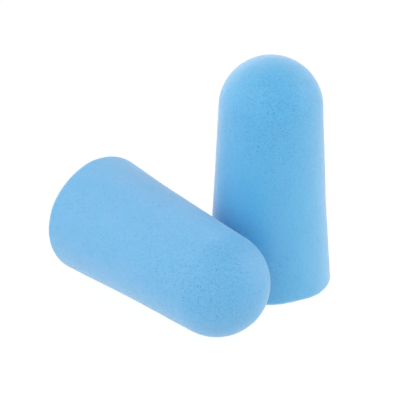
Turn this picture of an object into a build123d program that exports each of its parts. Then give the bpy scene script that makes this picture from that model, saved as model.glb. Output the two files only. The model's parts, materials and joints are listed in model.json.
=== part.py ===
from build123d import *
import math
import os

# A pair of foam ear plugs: one stands on its flat base, the other lies on the
# same surface with its nose against the foot of the first. Both come out of
# one mould, so one plug is modelled and placed twice.
# Millimetres. The origin is the centre of the standing plug's base, +Z is up,
# and the lying plug is towards -X with its nose pointing to the front, -Y.

# Driving dimensions of one plug
plug_length = 24.0      # flat base to the tip of the nose
base_radius = 6.28      # where the flared side would meet the base, unrounded
nose_radius = 5.15      # the domed nose, which goes into the ear canal first
side_lean = 2.35        # degrees that the side leans inwards where it meets the dome
rim_radius = 0.55       # rounding between the side and the flat base

# Where the lying plug is
lying_base_x = -17.665  # centre of its base
lying_base_y = 2.92
lying_heading = 49.3    # degrees from +X towards -Y that its nose points
lying_roll = 135.0      # degrees turned about its own axis, which keeps the surface's seam off the floor


def plug_profile():
    """Half of a plug's lengthwise section, from the axis out to the flared side."""
    dome_centre_z = plug_length - nose_radius
    shoulder_radius = nose_radius * math.cos(math.radians(side_lean))
    shoulder_z = dome_centre_z + nose_radius * math.sin(math.radians(side_lean))
    down_the_side = (math.sin(math.radians(side_lean)), -math.cos(math.radians(side_lean)))
    with BuildSketch() as profile:
        with BuildLine():
            Line((0, 0), (base_radius, 0))
            TangentArc((shoulder_radius, shoulder_z), (base_radius, 0), tangent=down_the_side)
            CenterArc((0, dome_centre_z), nose_radius, side_lean, 90 - side_lean)
            Line((0, plug_length), (0, 0))
        make_face()
        base_corner = profile.vertices().sort_by_distance((base_radius, 0))[0]
        fillet(base_corner, rim_radius)
    return profile.sketch


def rim_arc_centre(profile):
    """Radius and height of the centre that the rim's rounding turns about."""
    rim_arc = profile.edges().filter_by(GeomType.CIRCLE).sort_by(SortBy.RADIUS)[0]
    return rim_arc.arc_center.X, rim_arc.arc_center.Y


def lying_tilt(profile):
    """Angle below the horizontal of a plug that rests on its rim and its dome.

    The surface is the line tangent to both round arcs of the section, so the
    plug's axis dips towards the nose by this many degrees.
    """
    rim_radial, rim_axial = rim_arc_centre(profile)
    along = plug_length - nose_radius - rim_axial
    centres_apart = math.hypot(along, rim_radial)
    towards_rim = math.atan2(rim_radial, along)
    return math.degrees(towards_rim - math.asin((nose_radius - rim_radius) / centres_apart))


def write_part(node, shape):
    """Write one piece as its own STEP file, named after its node."""
    shape.label = node
    export_step(shape, f"parts/{node}.step")


section = plug_profile()
plug = revolve(Plane.XZ * section, axis=Axis.Z)

tilt = lying_tilt(section)
dome_centre_along = plug_length - nose_radius
lying_base_z = nose_radius + dome_centre_along * math.sin(math.radians(tilt))
heading = Rotation(0, 0, -lying_heading)
nose_down = Rotation(0, 90 + tilt, 0)
rolled = Rotation(0, 0, lying_roll)
lying_place = Pos(lying_base_x, lying_base_y, lying_base_z) * heading * nose_down * rolled

standing_plug = plug.solid()
lying_plug = (lying_place * plug).solid()

os.makedirs("parts", exist_ok=True)
write_part("standing_plug", standing_plug)
write_part("lying_plug", lying_plug)

print(f"lying plug's tilt {tilt:.3f} degrees, base centre {lying_base_z:.3f} mm up")
print(f"gap between the plugs {standing_plug.distance_to(lying_plug):.3f} mm")
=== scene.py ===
"""A pair of foam ear plugs on a white table: one stands on its base, the other lies beside it."""

import json
import math

import bpy
import numpy as np
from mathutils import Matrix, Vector


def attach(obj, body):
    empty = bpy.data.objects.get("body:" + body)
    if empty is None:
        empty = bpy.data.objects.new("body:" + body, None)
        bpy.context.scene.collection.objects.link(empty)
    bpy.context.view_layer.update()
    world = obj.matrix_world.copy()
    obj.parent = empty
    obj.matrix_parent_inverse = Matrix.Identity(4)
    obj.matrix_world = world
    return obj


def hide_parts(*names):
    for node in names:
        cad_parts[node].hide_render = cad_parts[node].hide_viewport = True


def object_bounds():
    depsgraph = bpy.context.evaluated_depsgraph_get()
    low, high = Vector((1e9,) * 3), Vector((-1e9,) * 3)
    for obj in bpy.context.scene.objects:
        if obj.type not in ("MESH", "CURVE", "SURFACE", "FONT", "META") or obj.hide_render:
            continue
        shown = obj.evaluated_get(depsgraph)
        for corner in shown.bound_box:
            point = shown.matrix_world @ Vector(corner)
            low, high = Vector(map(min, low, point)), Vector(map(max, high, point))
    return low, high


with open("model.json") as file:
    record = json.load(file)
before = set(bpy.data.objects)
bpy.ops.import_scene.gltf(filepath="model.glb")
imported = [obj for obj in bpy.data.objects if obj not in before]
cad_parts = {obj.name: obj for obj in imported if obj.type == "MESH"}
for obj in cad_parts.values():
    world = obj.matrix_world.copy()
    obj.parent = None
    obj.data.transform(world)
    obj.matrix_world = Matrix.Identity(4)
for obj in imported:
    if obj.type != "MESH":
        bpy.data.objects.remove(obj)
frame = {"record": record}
cad_low, cad_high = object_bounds()

# The mesh and the foam's patterns are worked out in millimetres, and Blender is in metres. Every length here
# is in millimetres unless its comment says metres.
MM = 0.001

# One plug's shape, as its CAD solid has it
NOSE_RADIUS = 5.15
BASE_RADIUS = 6.28  # where the side would meet the base if the rim weren't rounded
SIDE_LEAN = math.radians(2.35)  # where the side meets the dome
RIM_RADIUS = 0.55

# How many quads cover a plug
CAP_CELLS = 80  # along each side of the square grids on the nose and the base
SIDE_COLUMNS = 4 * CAP_CELLS
NOSE_CAP_REACH = 4.5  # from the tip to the edge of the nose's grid
BASE_CAP_REACH = 4.5  # from the centre of the base to the edge of its grid
ROW_PITCH = 0.11
RIM_ROWS = 12

# How far the moulded skin strays from the plain shape
UNEVENNESS = [  # height and wavelength of the swells, the ripples and the grain
    (0.010, 9.0),
    (0.005, 2.2),
    (0.003, 0.7),
]
WAVE_COUNT = 60  # how many plain waves add up to one of these
WAVE_SPREAD = (0.7, 1.4)  # how many times as fine as its wavelength each of them may be
BASE_DISH = 0.08  # how far the middle of the base is sunk
PIT_COUNT = 60
PIT_RADII = (0.12, 0.20)
PIT_DEPTHS = (0.012, 0.03)
WEAR_HEIGHT = 0.6  # along the outline, to each side of the middle of the rim
WEAR_SPREAD = math.radians(18.0)  # round the axis, to each side of the most worn place
BOW_CROSSINGS = (11.5, 22.0)  # the heights at which a bowed plug crosses its straight axis

# How the two plugs differ:
# - blue is the colour of the plain foam; the lying plug's extra red is painted light, a paler copy of the
#   same foam for the light its upturned side catches,
# - coarsest is how strong the grain is, how many pores are open and how much of the partly painted shade
#   there is, at the nose, from 0 to 1,
# - sheen is how much the fine fuzz of the skin pales towards the edges,
# - seed chooses where the skin is uneven,
# - wear is how much rounder the rim is on the side that faces worn_towards,
# - bow is how far the base is off the axis, towards +X before the plug is placed.
PLUGS = {
    "standing_plug": {
        "blue": (0.071, 0.416, 0.704),
        "coarsest": 0.95,
        "sheen": 0.46,
        "seed": 11,
        "wear": 0.15,
        "worn_towards": (0.44, -0.90, 0.0),
        "bow": 0.11,
    },
    "lying_plug": {
        # this blue's extra red over the standing plug's is painted light, not a different foam
        "blue": (0.121, 0.413, 0.690),
        "coarsest": 0.72,
        "sheen": 0.20,
        "seed": 29,
        "wear": 0.06,
        "worn_towards": (-0.50, -0.30, 0.80),
        "bow": 0.0,
    },
}

# The foam's colour in places, as shares of the plain foam's red, green and blue
PALE_MOTTLE = (1.22, 1.00, 1.02)
DEEP_BLOTCH = (0.84, 0.94, 0.97)
# The coarse foam's colour is partly its own tone and partly painted shade: its red is lower towards the nose.
COARSE_TONE_AND_SHADE = (0.84, 0.99, 1.01)
GRAIN_HOLLOW = (0.48, 0.87, 0.955)
# The pores' dark blue is painted shade, the shade that falls in their hollows.
PORE_SHADE = (0.0, 0.36, 0.67)
BLOTCH_STRENGTH = 0.5  # how far the middle of a blotch goes to its colour
COARSE_TONE_AND_SHADE_STRENGTH = 0.6  # how far the coarsest foam goes to its colour, which is partly painted shade

# The foam's patterns, in patches to a millimetre
MOTTLES_PER_MM = 0.45
BLOTCHES_PER_MM = 1.6
GRAINS_PER_MM = 6.0
CLUSTERS_PER_MM = 0.35

# The values of a noise pattern between which something fades in
ALL_OF_NOISE = (0.2, 0.8)
MIDDLE_OF_NOISE = (0.35, 0.65)
BLOTCH_EDGE = (0.50, 0.80)
CLUSTER_EDGE = (0.40, 0.60)

# Between these distances from the tip, along the outline, the foam goes from its coarsest to its smoothest
SMOOTHING_STRETCH = (6.0, 17.0)
SMOOTHEST = 0.45

# Open pores: cells to a millimetre, a pore's radius, and the share of cells that have a pore where the
# crowding is 1. A share over 1 is all of them.
FINE_PORES = (5.0, 0.055, 1.15)
COARSE_PORES = (2.0, 0.075, 0.40)
BETWEEN_CLUSTERS = 0.3  # the crowding there, as a share of what it is in a cluster

# The foam's surface
GRAIN_DEPTH = 0.006
PORE_DEPTH = 0.022
ROUGHNESS = (0.46, 0.54)  # the least and the most, across the blotches
GLOW_DEPTH = 0.6  # how far light is carried under the skin

# Table, room and lights
TABLE_SIZE = 4.0  # metres
TABLE_WHITE = 0.05
TABLE_GLOW = 0.97
HORIZON_BRIGHTNESS = 1.0
SKY_BRIGHTNESS = 0.73
HORIZON_BAND = (0.14, 0.34)  # the sine of the elevation at which the room starts and ends changing
SOFTBOX_SIZE = 0.36  # metres
SOFTBOX_DISTANCE = 0.40  # metres
SOFTBOXES = {  # azimuth in degrees, 0 in front and 90 on the right, then elevation in degrees and brightness
    "left_softbox": (-90.0, 28.0, 0.56),
    "right_softbox": (90.0, 28.0, 1.13),
    "back_left_softbox": (-150.0, 30.0, 0.96),
    "back_right_softbox": (150.0, 30.0, 0.13),
    "front_left_softbox": (-45.0, 35.0, 0.87),
    "front_softbox": (0.0, 45.0, 0.35),
}

# Camera
CAMERA_ELEVATION = math.radians(23.45)
CAMERA_DISTANCE = 0.1706  # metres
CAMERA_NEAREST = 0.01  # metres
CAMERA_LENS = 157.4
CAMERA_AIM = (0.99, 0.0, -1.01)  # from the centre of the pair's box to the point in the middle of the picture


def mount(name):
    """Position, in metres, and direction of one of the record's mounts."""
    found = next(m for m in frame["record"]["mounts"] if m["name"] == name)
    return Vector(found["pos_m"]), Vector(found["axis"]).normalized()


# ---- the shape of a plug ----


class Outline:
    """Half of a plug's lengthwise section: the dome, the hollow side, the rim and the flat base.

    A place on it is given by how far it is along the outline from the tip of the nose.
    """

    def __init__(self, length):
        lean_in = np.array([math.cos(SIDE_LEAN), math.sin(SIDE_LEAN)])
        self.dome_centre = np.array([0.0, length - NOSE_RADIUS])
        shoulder = self.dome_centre + NOSE_RADIUS * lean_in
        to_base = np.array([BASE_RADIUS, 0.0]) - shoulder
        self.side_radius = (to_base @ to_base) / (2.0 * (to_base @ lean_in))
        self.side_centre = shoulder + self.side_radius * lean_in

        across = math.sqrt((self.side_radius + RIM_RADIUS) ** 2 - (self.side_centre[1] - RIM_RADIUS) ** 2)
        self.rim_centre = np.array([self.side_centre[0] - across, RIM_RADIUS])
        rim_to_side = self.side_centre - self.rim_centre
        self.flare = math.atan2(rim_to_side[1], rim_to_side[0])

        self.dome_end = NOSE_RADIUS * (math.pi / 2 - SIDE_LEAN)
        self.side_end = self.dome_end + self.side_radius * (self.flare - SIDE_LEAN)
        self.rim_end = self.side_end + RIM_RADIUS * (self.flare + math.pi / 2)
        self.base_centre = self.rim_end + self.rim_centre[0]

    def at(self, along):
        """Each place's distance from the axis and height above the base, and its outward direction."""
        stretch = np.searchsorted([self.dome_end, self.side_end, self.rim_end], along)
        angle = np.select(
            [stretch == 0, stretch == 1, stretch == 2],
            [
                math.pi / 2 - along / NOSE_RADIUS,
                SIDE_LEAN + (along - self.dome_end) / self.side_radius,
                self.flare - (along - self.side_end) / RIM_RADIUS,
            ],
            -math.pi / 2,
        )
        outward = np.stack([np.cos(angle), np.sin(angle)], axis=-1)
        on_base = np.stack([self.base_centre - along, np.zeros_like(along)], axis=-1)
        choices = [
            self.dome_centre + NOSE_RADIUS * outward,
            self.side_centre - self.side_radius * outward,
            self.rim_centre + RIM_RADIUS * outward,
            on_base,
        ]
        section = np.choose(stretch[..., None], choices)
        return section, outward


def evenly(start, end, pitch):
    """Values from just after start up to end, about a pitch apart."""
    count = max(1, round((end - start) / pitch))
    return np.linspace(start, end, count + 1)[1:]


def disc_grid():
    """A square grid bent to fill a disc: each point's distance from the centre, 0 to 1, and its angle."""
    steps = np.linspace(-1.0, 1.0, CAP_CELLS + 1)
    across, up = np.meshgrid(steps, steps)
    sideways = np.abs(across) >= np.abs(up)
    reach = np.maximum(np.abs(across), np.abs(up))
    long_side = np.where(sideways, across, up)
    long_side = np.where(long_side == 0.0, 1.0, long_side)
    turn = math.pi / 4 * np.where(sideways, up, -across) / long_side
    quarter = np.where(sideways, 0.0, math.pi / 2)
    opposite = np.where(long_side < 0.0, math.pi, 0.0)
    return reach, quarter + opposite + turn


def rim_of(grid):
    """The outer points of a square grid, anticlockwise from its lower right corner."""
    return np.concatenate([grid[:-1, -1], grid[-1, :0:-1], grid[:0:-1, 0], grid[0, :-1]])


def quads_of(grid):
    """The four corners of every cell of a grid of vertex numbers."""
    corners = [grid[:-1, :-1], grid[:-1, 1:], grid[1:, 1:], grid[1:, :-1]]
    return np.stack(corners, axis=-1).reshape(-1, 4)


def plug_grid(outline):
    """Where each vertex lies, along the outline and round the axis, and the quads between them."""
    reach, cap_angle = disc_grid()
    rows = np.concatenate([
        evenly(NOSE_CAP_REACH, outline.dome_end, ROW_PITCH),
        evenly(outline.dome_end, outline.side_end, ROW_PITCH),
        evenly(outline.side_end, outline.rim_end, (outline.rim_end - outline.side_end) / RIM_ROWS),
        evenly(outline.rim_end, outline.base_centre - BASE_CAP_REACH, ROW_PITCH)[:-1],
    ])
    column_angle = math.pi / 2 * (np.arange(SIDE_COLUMNS) / CAP_CELLS - 0.5)

    along = np.concatenate([
        (reach * NOSE_CAP_REACH).ravel(),
        np.repeat(rows, SIDE_COLUMNS),
        (outline.base_centre - reach * BASE_CAP_REACH).ravel(),
    ])
    angle = np.concatenate([cap_angle.ravel(), np.tile(column_angle, len(rows)), cap_angle.ravel()])

    nose = np.arange(reach.size).reshape(reach.shape)
    side = nose.size + np.arange(rows.size * SIDE_COLUMNS).reshape(rows.size, SIDE_COLUMNS)
    base = nose + nose.size + side.size
    belt = np.vstack([rim_of(nose), side, rim_of(base)])
    belt = np.column_stack([belt, belt[:, 0]])
    quads = np.vstack([quads_of(nose), quads_of(belt)[:, ::-1], quads_of(base)[:, ::-1]])
    return along, angle, quads


def unevenness(points, wavelength, rng):
    """A smooth random field over space, of about that wavelength and with a spread of 1."""
    direction = rng.normal(size=(WAVE_COUNT, 3))
    direction /= np.linalg.norm(direction, axis=1, keepdims=True)
    turns = direction * (2 * math.pi / wavelength) * rng.uniform(*WAVE_SPREAD, size=(WAVE_COUNT, 1))
    phase = rng.uniform(0.0, 2 * math.pi, size=WAVE_COUNT)
    return np.cos(points @ turns.T + phase).sum(axis=1) * math.sqrt(2.0 / WAVE_COUNT)


def pits(points, rng):
    """How far burst bubbles sink the skin at each point. Where two meet, the deeper one shows."""
    sunk = np.zeros(len(points))
    for centre in points[rng.choice(len(points), PIT_COUNT, replace=False)]:
        radius = rng.uniform(*PIT_RADII)
        depth = rng.uniform(*PIT_DEPTHS)
        share = np.clip(1.0 - ((points - centre) ** 2).sum(axis=1) / radius**2, 0.0, 1.0)
        sunk = np.maximum(sunk, depth * share**2)
    return sunk


def skin(outline, seed, bow, wear, worn_angle):
    """Points of a plug's moulded skin, with its base on the XY plane and its nose up +Z.

    With them come its quads, and how far along the outline from the tip each point is.
    """
    along, angle, quads = plug_grid(outline)
    section, outward = outline.at(along)
    turn = np.stack([np.cos(angle), np.sin(angle)], axis=-1)
    points = np.column_stack([section[:, :1] * turn, section[:, 1]])
    normals = np.column_stack([outward[:, :1] * turn, outward[:, 1]])

    rng = np.random.default_rng(seed)
    height = np.zeros(len(points))
    for wave_height, wavelength in UNEVENNESS:
        height += wave_height * unevenness(points, wavelength, rng)
    height -= pits(points, rng)
    on_base = along > outline.rim_end
    height[on_base] -= BASE_DISH * (1.0 - (section[on_base, 0] / outline.rim_centre[0]) ** 2)
    off_rim = (along - (outline.side_end + outline.rim_end) / 2) / WEAR_HEIGHT
    off_side = np.angle(np.exp(1j * (angle - worn_angle))) / WEAR_SPREAD
    height -= wear * np.exp(-(off_rim**2) - off_side**2)
    points += normals * height[:, None]
    lower, upper = BOW_CROSSINGS
    points[:, 0] += bow * (1.0 - section[:, 1] / lower) * (1.0 - section[:, 1] / upper)
    return points, quads, along


def make_plug(node, blue, coarsest, sheen, seed, wear, worn_towards, bow):
    """The visible plug for one CAD node, placed by that node's two mounts and resting on the table.

    PLUGS says what the other values are.
    """
    where = node.removesuffix("_plug")
    foam = foam_material(f"{where}_skin", blue, coarsest, sheen)
    base, away_from_nose = mount(f"{where}_base")
    nose, _ = mount(f"{where}_nose")
    turned = np.array((-away_from_nose).to_track_quat("Z", "Y").to_matrix())
    worn = np.array(worn_towards) @ turned
    outline = Outline((nose - base).length / MM)
    points, quads, along = skin(outline, seed, bow, wear, math.atan2(worn[1], worn[0]))
    points = points @ turned.T * MM + np.array(base)
    points[:, 2] = np.maximum(points[:, 2], 0.0)  # the uneven skin doesn't reach below the table

    name = f"{where}_foam_plug"
    mesh = bpy.data.meshes.new(name)
    mesh.from_pydata(points.tolist(), [], quads.tolist())
    mesh.shade_smooth()
    mesh.attributes.new("from_nose", "FLOAT", "POINT").data.foreach_set("value", along)
    mesh.materials.append(foam)
    plug = bpy.data.objects.new(name, mesh)
    bpy.context.scene.collection.objects.link(plug)
    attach(plug, node)
    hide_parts(node)


# ---- materials ----


def feed(tree, sockets, inputs):
    """Gives each of those sockets its value, or a link from another node's output."""
    for name, value in inputs.items():
        if isinstance(value, bpy.types.NodeSocket):
            tree.links.new(value, sockets[name])
        else:
            sockets[name].default_value = value


def add_node(tree, kind, inputs=None, **settings):
    """A new node with its settings, and its inputs given as values or as other nodes' outputs."""
    made = tree.nodes.new(kind)
    for name, value in settings.items():
        setattr(made, name, value)
    feed(tree, made.inputs, inputs or {})
    return made


def noise(tree, place, per_mm, detail=2.0):
    """A cloudy pattern from 0 to 1, with about that many patches to a millimetre."""
    inputs = {"Vector": place, "Scale": per_mm, "Detail": detail}
    return add_node(tree, "ShaderNodeTexNoise", inputs).outputs["Fac"]


def ramp(tree, value, start, end, first=0.0, last=1.0):
    """Turns a value from start to end smoothly into one from first to last."""
    inputs = {"Value": value, "From Min": start, "From Max": end, "To Min": first, "To Max": last}
    return add_node(tree, "ShaderNodeMapRange", inputs, interpolation_type="SMOOTHSTEP").outputs["Result"]


def calculate(tree, operation, first, second):
    """One sum on two values."""
    return add_node(tree, "ShaderNodeMath", {0: first, 1: second}, operation=operation).outputs["Value"]


def tinted(tree, share, plain, tint):
    """A colour that goes from plain to tint as the share goes from 0 to 1."""
    mixer = add_node(tree, "ShaderNodeMix", data_type="RGBA")
    in_use = {socket.name: socket for socket in mixer.inputs if socket.enabled}
    feed(tree, in_use, {"Factor": share, "A": plain, "B": tint})
    return next(socket for socket in mixer.outputs if socket.enabled)


def shade_of(colour, shares):
    """A colour with its red, green and blue each at a share of what they were."""
    return tuple(part * share for part, share in zip(colour, shares)) + (1.0,)


def pores(tree, place, crowding, per_mm, radius, share):
    """Round pores that open at the skin: 1 inside each, 0 between them.

    The share is how much of the foam's cells have one where the crowding is 1.
    """
    inputs = {"Vector": place, "Scale": per_mm, "Randomness": 1.0}
    cells = add_node(tree, "ShaderNodeTexVoronoi", inputs, voronoi_dimensions="3D", feature="F1")
    chance = add_node(tree, "ShaderNodeSeparateColor", {"Color": cells.outputs["Color"]}).outputs["Red"]
    reach = radius * per_mm
    hollow = ramp(tree, cells.outputs["Distance"], 0.5 * reach, reach, first=1.0, last=0.0)
    is_open = calculate(tree, "LESS_THAN", chance, calculate(tree, "MULTIPLY", crowding, share))
    return calculate(tree, "MULTIPLY", hollow, is_open)


def open_pores_of(tree, place, coarseness):
    """The fine and the coarse pores together, in clusters, and more of them where the foam is coarse."""
    clusters = ramp(tree, noise(tree, place, CLUSTERS_PER_MM), *CLUSTER_EDGE, first=BETWEEN_CLUSTERS)
    crowding = calculate(tree, "MULTIPLY", coarseness, clusters)
    fine = pores(tree, place, crowding, *FINE_PORES)
    coarse = pores(tree, place, crowding, *COARSE_PORES)
    return calculate(tree, "MAXIMUM", fine, coarse)


def relief_of(tree, roughening, open_pores):
    """Normals of a skin that sinks in the hollows of the grain and further in the pores."""
    height = calculate(tree, "MULTIPLY", roughening, -GRAIN_DEPTH)
    height = calculate(tree, "SUBTRACT", height, calculate(tree, "MULTIPLY", open_pores, PORE_DEPTH))
    bump = add_node(tree, "ShaderNodeBump", {"Strength": 1.0, "Distance": MM, "Height": height})
    return bump.outputs["Normal"]


def empty_material(name):
    """A material with no nodes yet, and its tree."""
    material = bpy.data.materials.new(name)
    material.use_nodes = True
    material.node_tree.nodes.clear()
    return material, material.node_tree


def finish_surface(tree, inputs):
    """Ends a material's tree with one shader that has those inputs."""
    shader = add_node(tree, "ShaderNodeBsdfPrincipled", inputs)
    add_node(tree, "ShaderNodeOutputMaterial", {"Surface": shader.outputs["BSDF"]})


def foam_material(name, blue, coarsest, sheen):
    """Soft blue polyurethane foam with a matt skin, faint mottling and open pores, most of them at the nose.
    The dark blue in the pores is painted shade, and the nose's lower red is partly painted shade.

    PLUGS says what blue, coarsest and sheen are.
    """
    material, tree = empty_material(name)
    in_metres = add_node(tree, "ShaderNodeTexCoord").outputs["Object"]
    scaled = {"Vector": in_metres, "Scale": (1 / MM,) * 3}
    place = add_node(tree, "ShaderNodeMapping", scaled).outputs["Vector"]

    from_nose = add_node(tree, "ShaderNodeAttribute", attribute_name="from_nose").outputs["Fac"]
    coarseness = ramp(tree, from_nose, *SMOOTHING_STRETCH, coarsest, SMOOTHEST)
    mottling = ramp(tree, noise(tree, place, MOTTLES_PER_MM, detail=3.0), *MIDDLE_OF_NOISE)
    blotches = noise(tree, place, BLOTCHES_PER_MM)
    grain = ramp(tree, noise(tree, place, GRAINS_PER_MM, detail=3.0), *MIDDLE_OF_NOISE)
    roughening = calculate(tree, "MULTIPLY", grain, coarseness)
    open_pores = open_pores_of(tree, place, coarseness)

    in_a_blotch = ramp(tree, blotches, *BLOTCH_EDGE, last=BLOTCH_STRENGTH)
    coarse_tone_and_shade = calculate(tree, "MULTIPLY", coarseness, COARSE_TONE_AND_SHADE_STRENGTH)
    colour = tinted(tree, mottling, (*blue, 1.0), shade_of(blue, PALE_MOTTLE))
    colour = tinted(tree, in_a_blotch, colour, shade_of(blue, DEEP_BLOTCH))
    # partly painted shade: lower red towards the nose
    colour = tinted(tree, coarse_tone_and_shade, colour, shade_of(blue, COARSE_TONE_AND_SHADE))
    colour = tinted(tree, roughening, colour, shade_of(blue, GRAIN_HOLLOW))
    # painted shade in the open pores
    colour = tinted(tree, open_pores, colour, shade_of(blue, PORE_SHADE))

    finish_surface(tree, {
        "Base Color": colour,
        "Roughness": ramp(tree, blotches, *ALL_OF_NOISE, *ROUGHNESS),
        "Normal": relief_of(tree, roughening, open_pores),
        "Specular IOR Level": 0.80,
        "Sheen Weight": sheen,
        "Sheen Roughness": 0.58,
        "Sheen Tint": (1.0, 0.95, 0.96, 1.0),
        "Subsurface Weight": 0.3,
        "Subsurface Radius": (0.3, 1.0, 1.0),
        "Subsurface Scale": GLOW_DEPTH * MM,
    })
    return material


def table_material():
    """A light table: nearly all of its white is its own glow, so the plugs leave hardly any shadow on it."""
    material, tree = empty_material("white_table")
    finish_surface(tree, {
        "Base Color": (TABLE_WHITE, TABLE_WHITE, TABLE_WHITE, 1.0),
        "Roughness": 0.9,
        "Specular IOR Level": 0.0,
        "Emission Color": (1.0, 1.0, 1.0, 1.0),
        "Emission Strength": TABLE_GLOW,
    })
    return material


# ---- table, light and camera ----


def make_table():
    """A flat square at floor level."""
    half = TABLE_SIZE / 2
    corners = [(-half, -half, 0.0), (half, -half, 0.0), (half, half, 0.0), (-half, half, 0.0)]
    mesh = bpy.data.meshes.new("table")
    mesh.from_pydata(corners, [], [(0, 1, 2, 3)])
    mesh.materials.append(table_material())
    table = bpy.data.objects.new("table", mesh)
    bpy.context.scene.collection.objects.link(table)


def turn_to(thing, place, outward):
    """Puts a light or a camera at a place, facing the opposite way to outward."""
    thing.location = place
    thing.rotation_mode = "QUATERNION"
    thing.rotation_quaternion = outward.to_track_quat("Z", "Y")


def make_softbox(name, centre, azimuth, elevation, brightness):
    """A square light turned to the centre."""
    turn = math.radians(azimuth)
    climb = math.radians(elevation)
    level = Vector((math.sin(turn), -math.cos(turn), 0.0)) * math.cos(climb)
    outward = level + Vector((0.0, 0.0, math.sin(climb)))
    data = bpy.data.lights.new(name, "AREA")
    data.size = SOFTBOX_SIZE
    data.energy = brightness * math.pi * SOFTBOX_SIZE**2
    box = bpy.data.objects.new(name, data)
    bpy.context.scene.collection.objects.link(box)
    turn_to(box, centre + outward * SOFTBOX_DISTANCE, outward)
    box.visible_camera = False


def make_world():
    """A white room, about as bright as the table at the horizon and dimmer higher up."""
    world = bpy.data.worlds.new("white_room")
    world.use_nodes = True
    tree = world.node_tree
    direction = add_node(tree, "ShaderNodeTexCoord").outputs["Generated"]
    height = add_node(tree, "ShaderNodeSeparateXYZ", {"Vector": direction}).outputs["Z"]
    brightness = ramp(tree, height, *HORIZON_BAND, HORIZON_BRIGHTNESS, SKY_BRIGHTNESS)
    feed(tree, tree.nodes["Background"].inputs, {"Color": (1.0, 1.0, 1.0, 1.0), "Strength": brightness})
    bpy.context.scene.world = world


def make_camera(centre):
    """A long lens, looking down at the pair from the front."""
    aim = centre + Vector(CAMERA_AIM) * MM
    back = Vector((0.0, -math.cos(CAMERA_ELEVATION), math.sin(CAMERA_ELEVATION)))
    data = bpy.data.cameras.new("camera")
    data.lens = CAMERA_LENS
    data.clip_start = CAMERA_NEAREST
    camera = bpy.data.objects.new("camera", data)
    bpy.context.scene.collection.objects.link(camera)
    turn_to(camera, aim + back * CAMERA_DISTANCE, back)
    bpy.context.scene.camera = camera


# ---- the scene ----

for node, differences in PLUGS.items():
    make_plug(node, **differences)

centre = (cad_low + cad_high) / 2
make_table()
for name, (azimuth, elevation, brightness) in SOFTBOXES.items():
    make_softbox(name, centre, azimuth, elevation, brightness)
make_world()
make_camera(centre)
bpy.context.scene.view_settings.view_transform = "Standard"
bpy.context.scene.view_settings.look = "None"
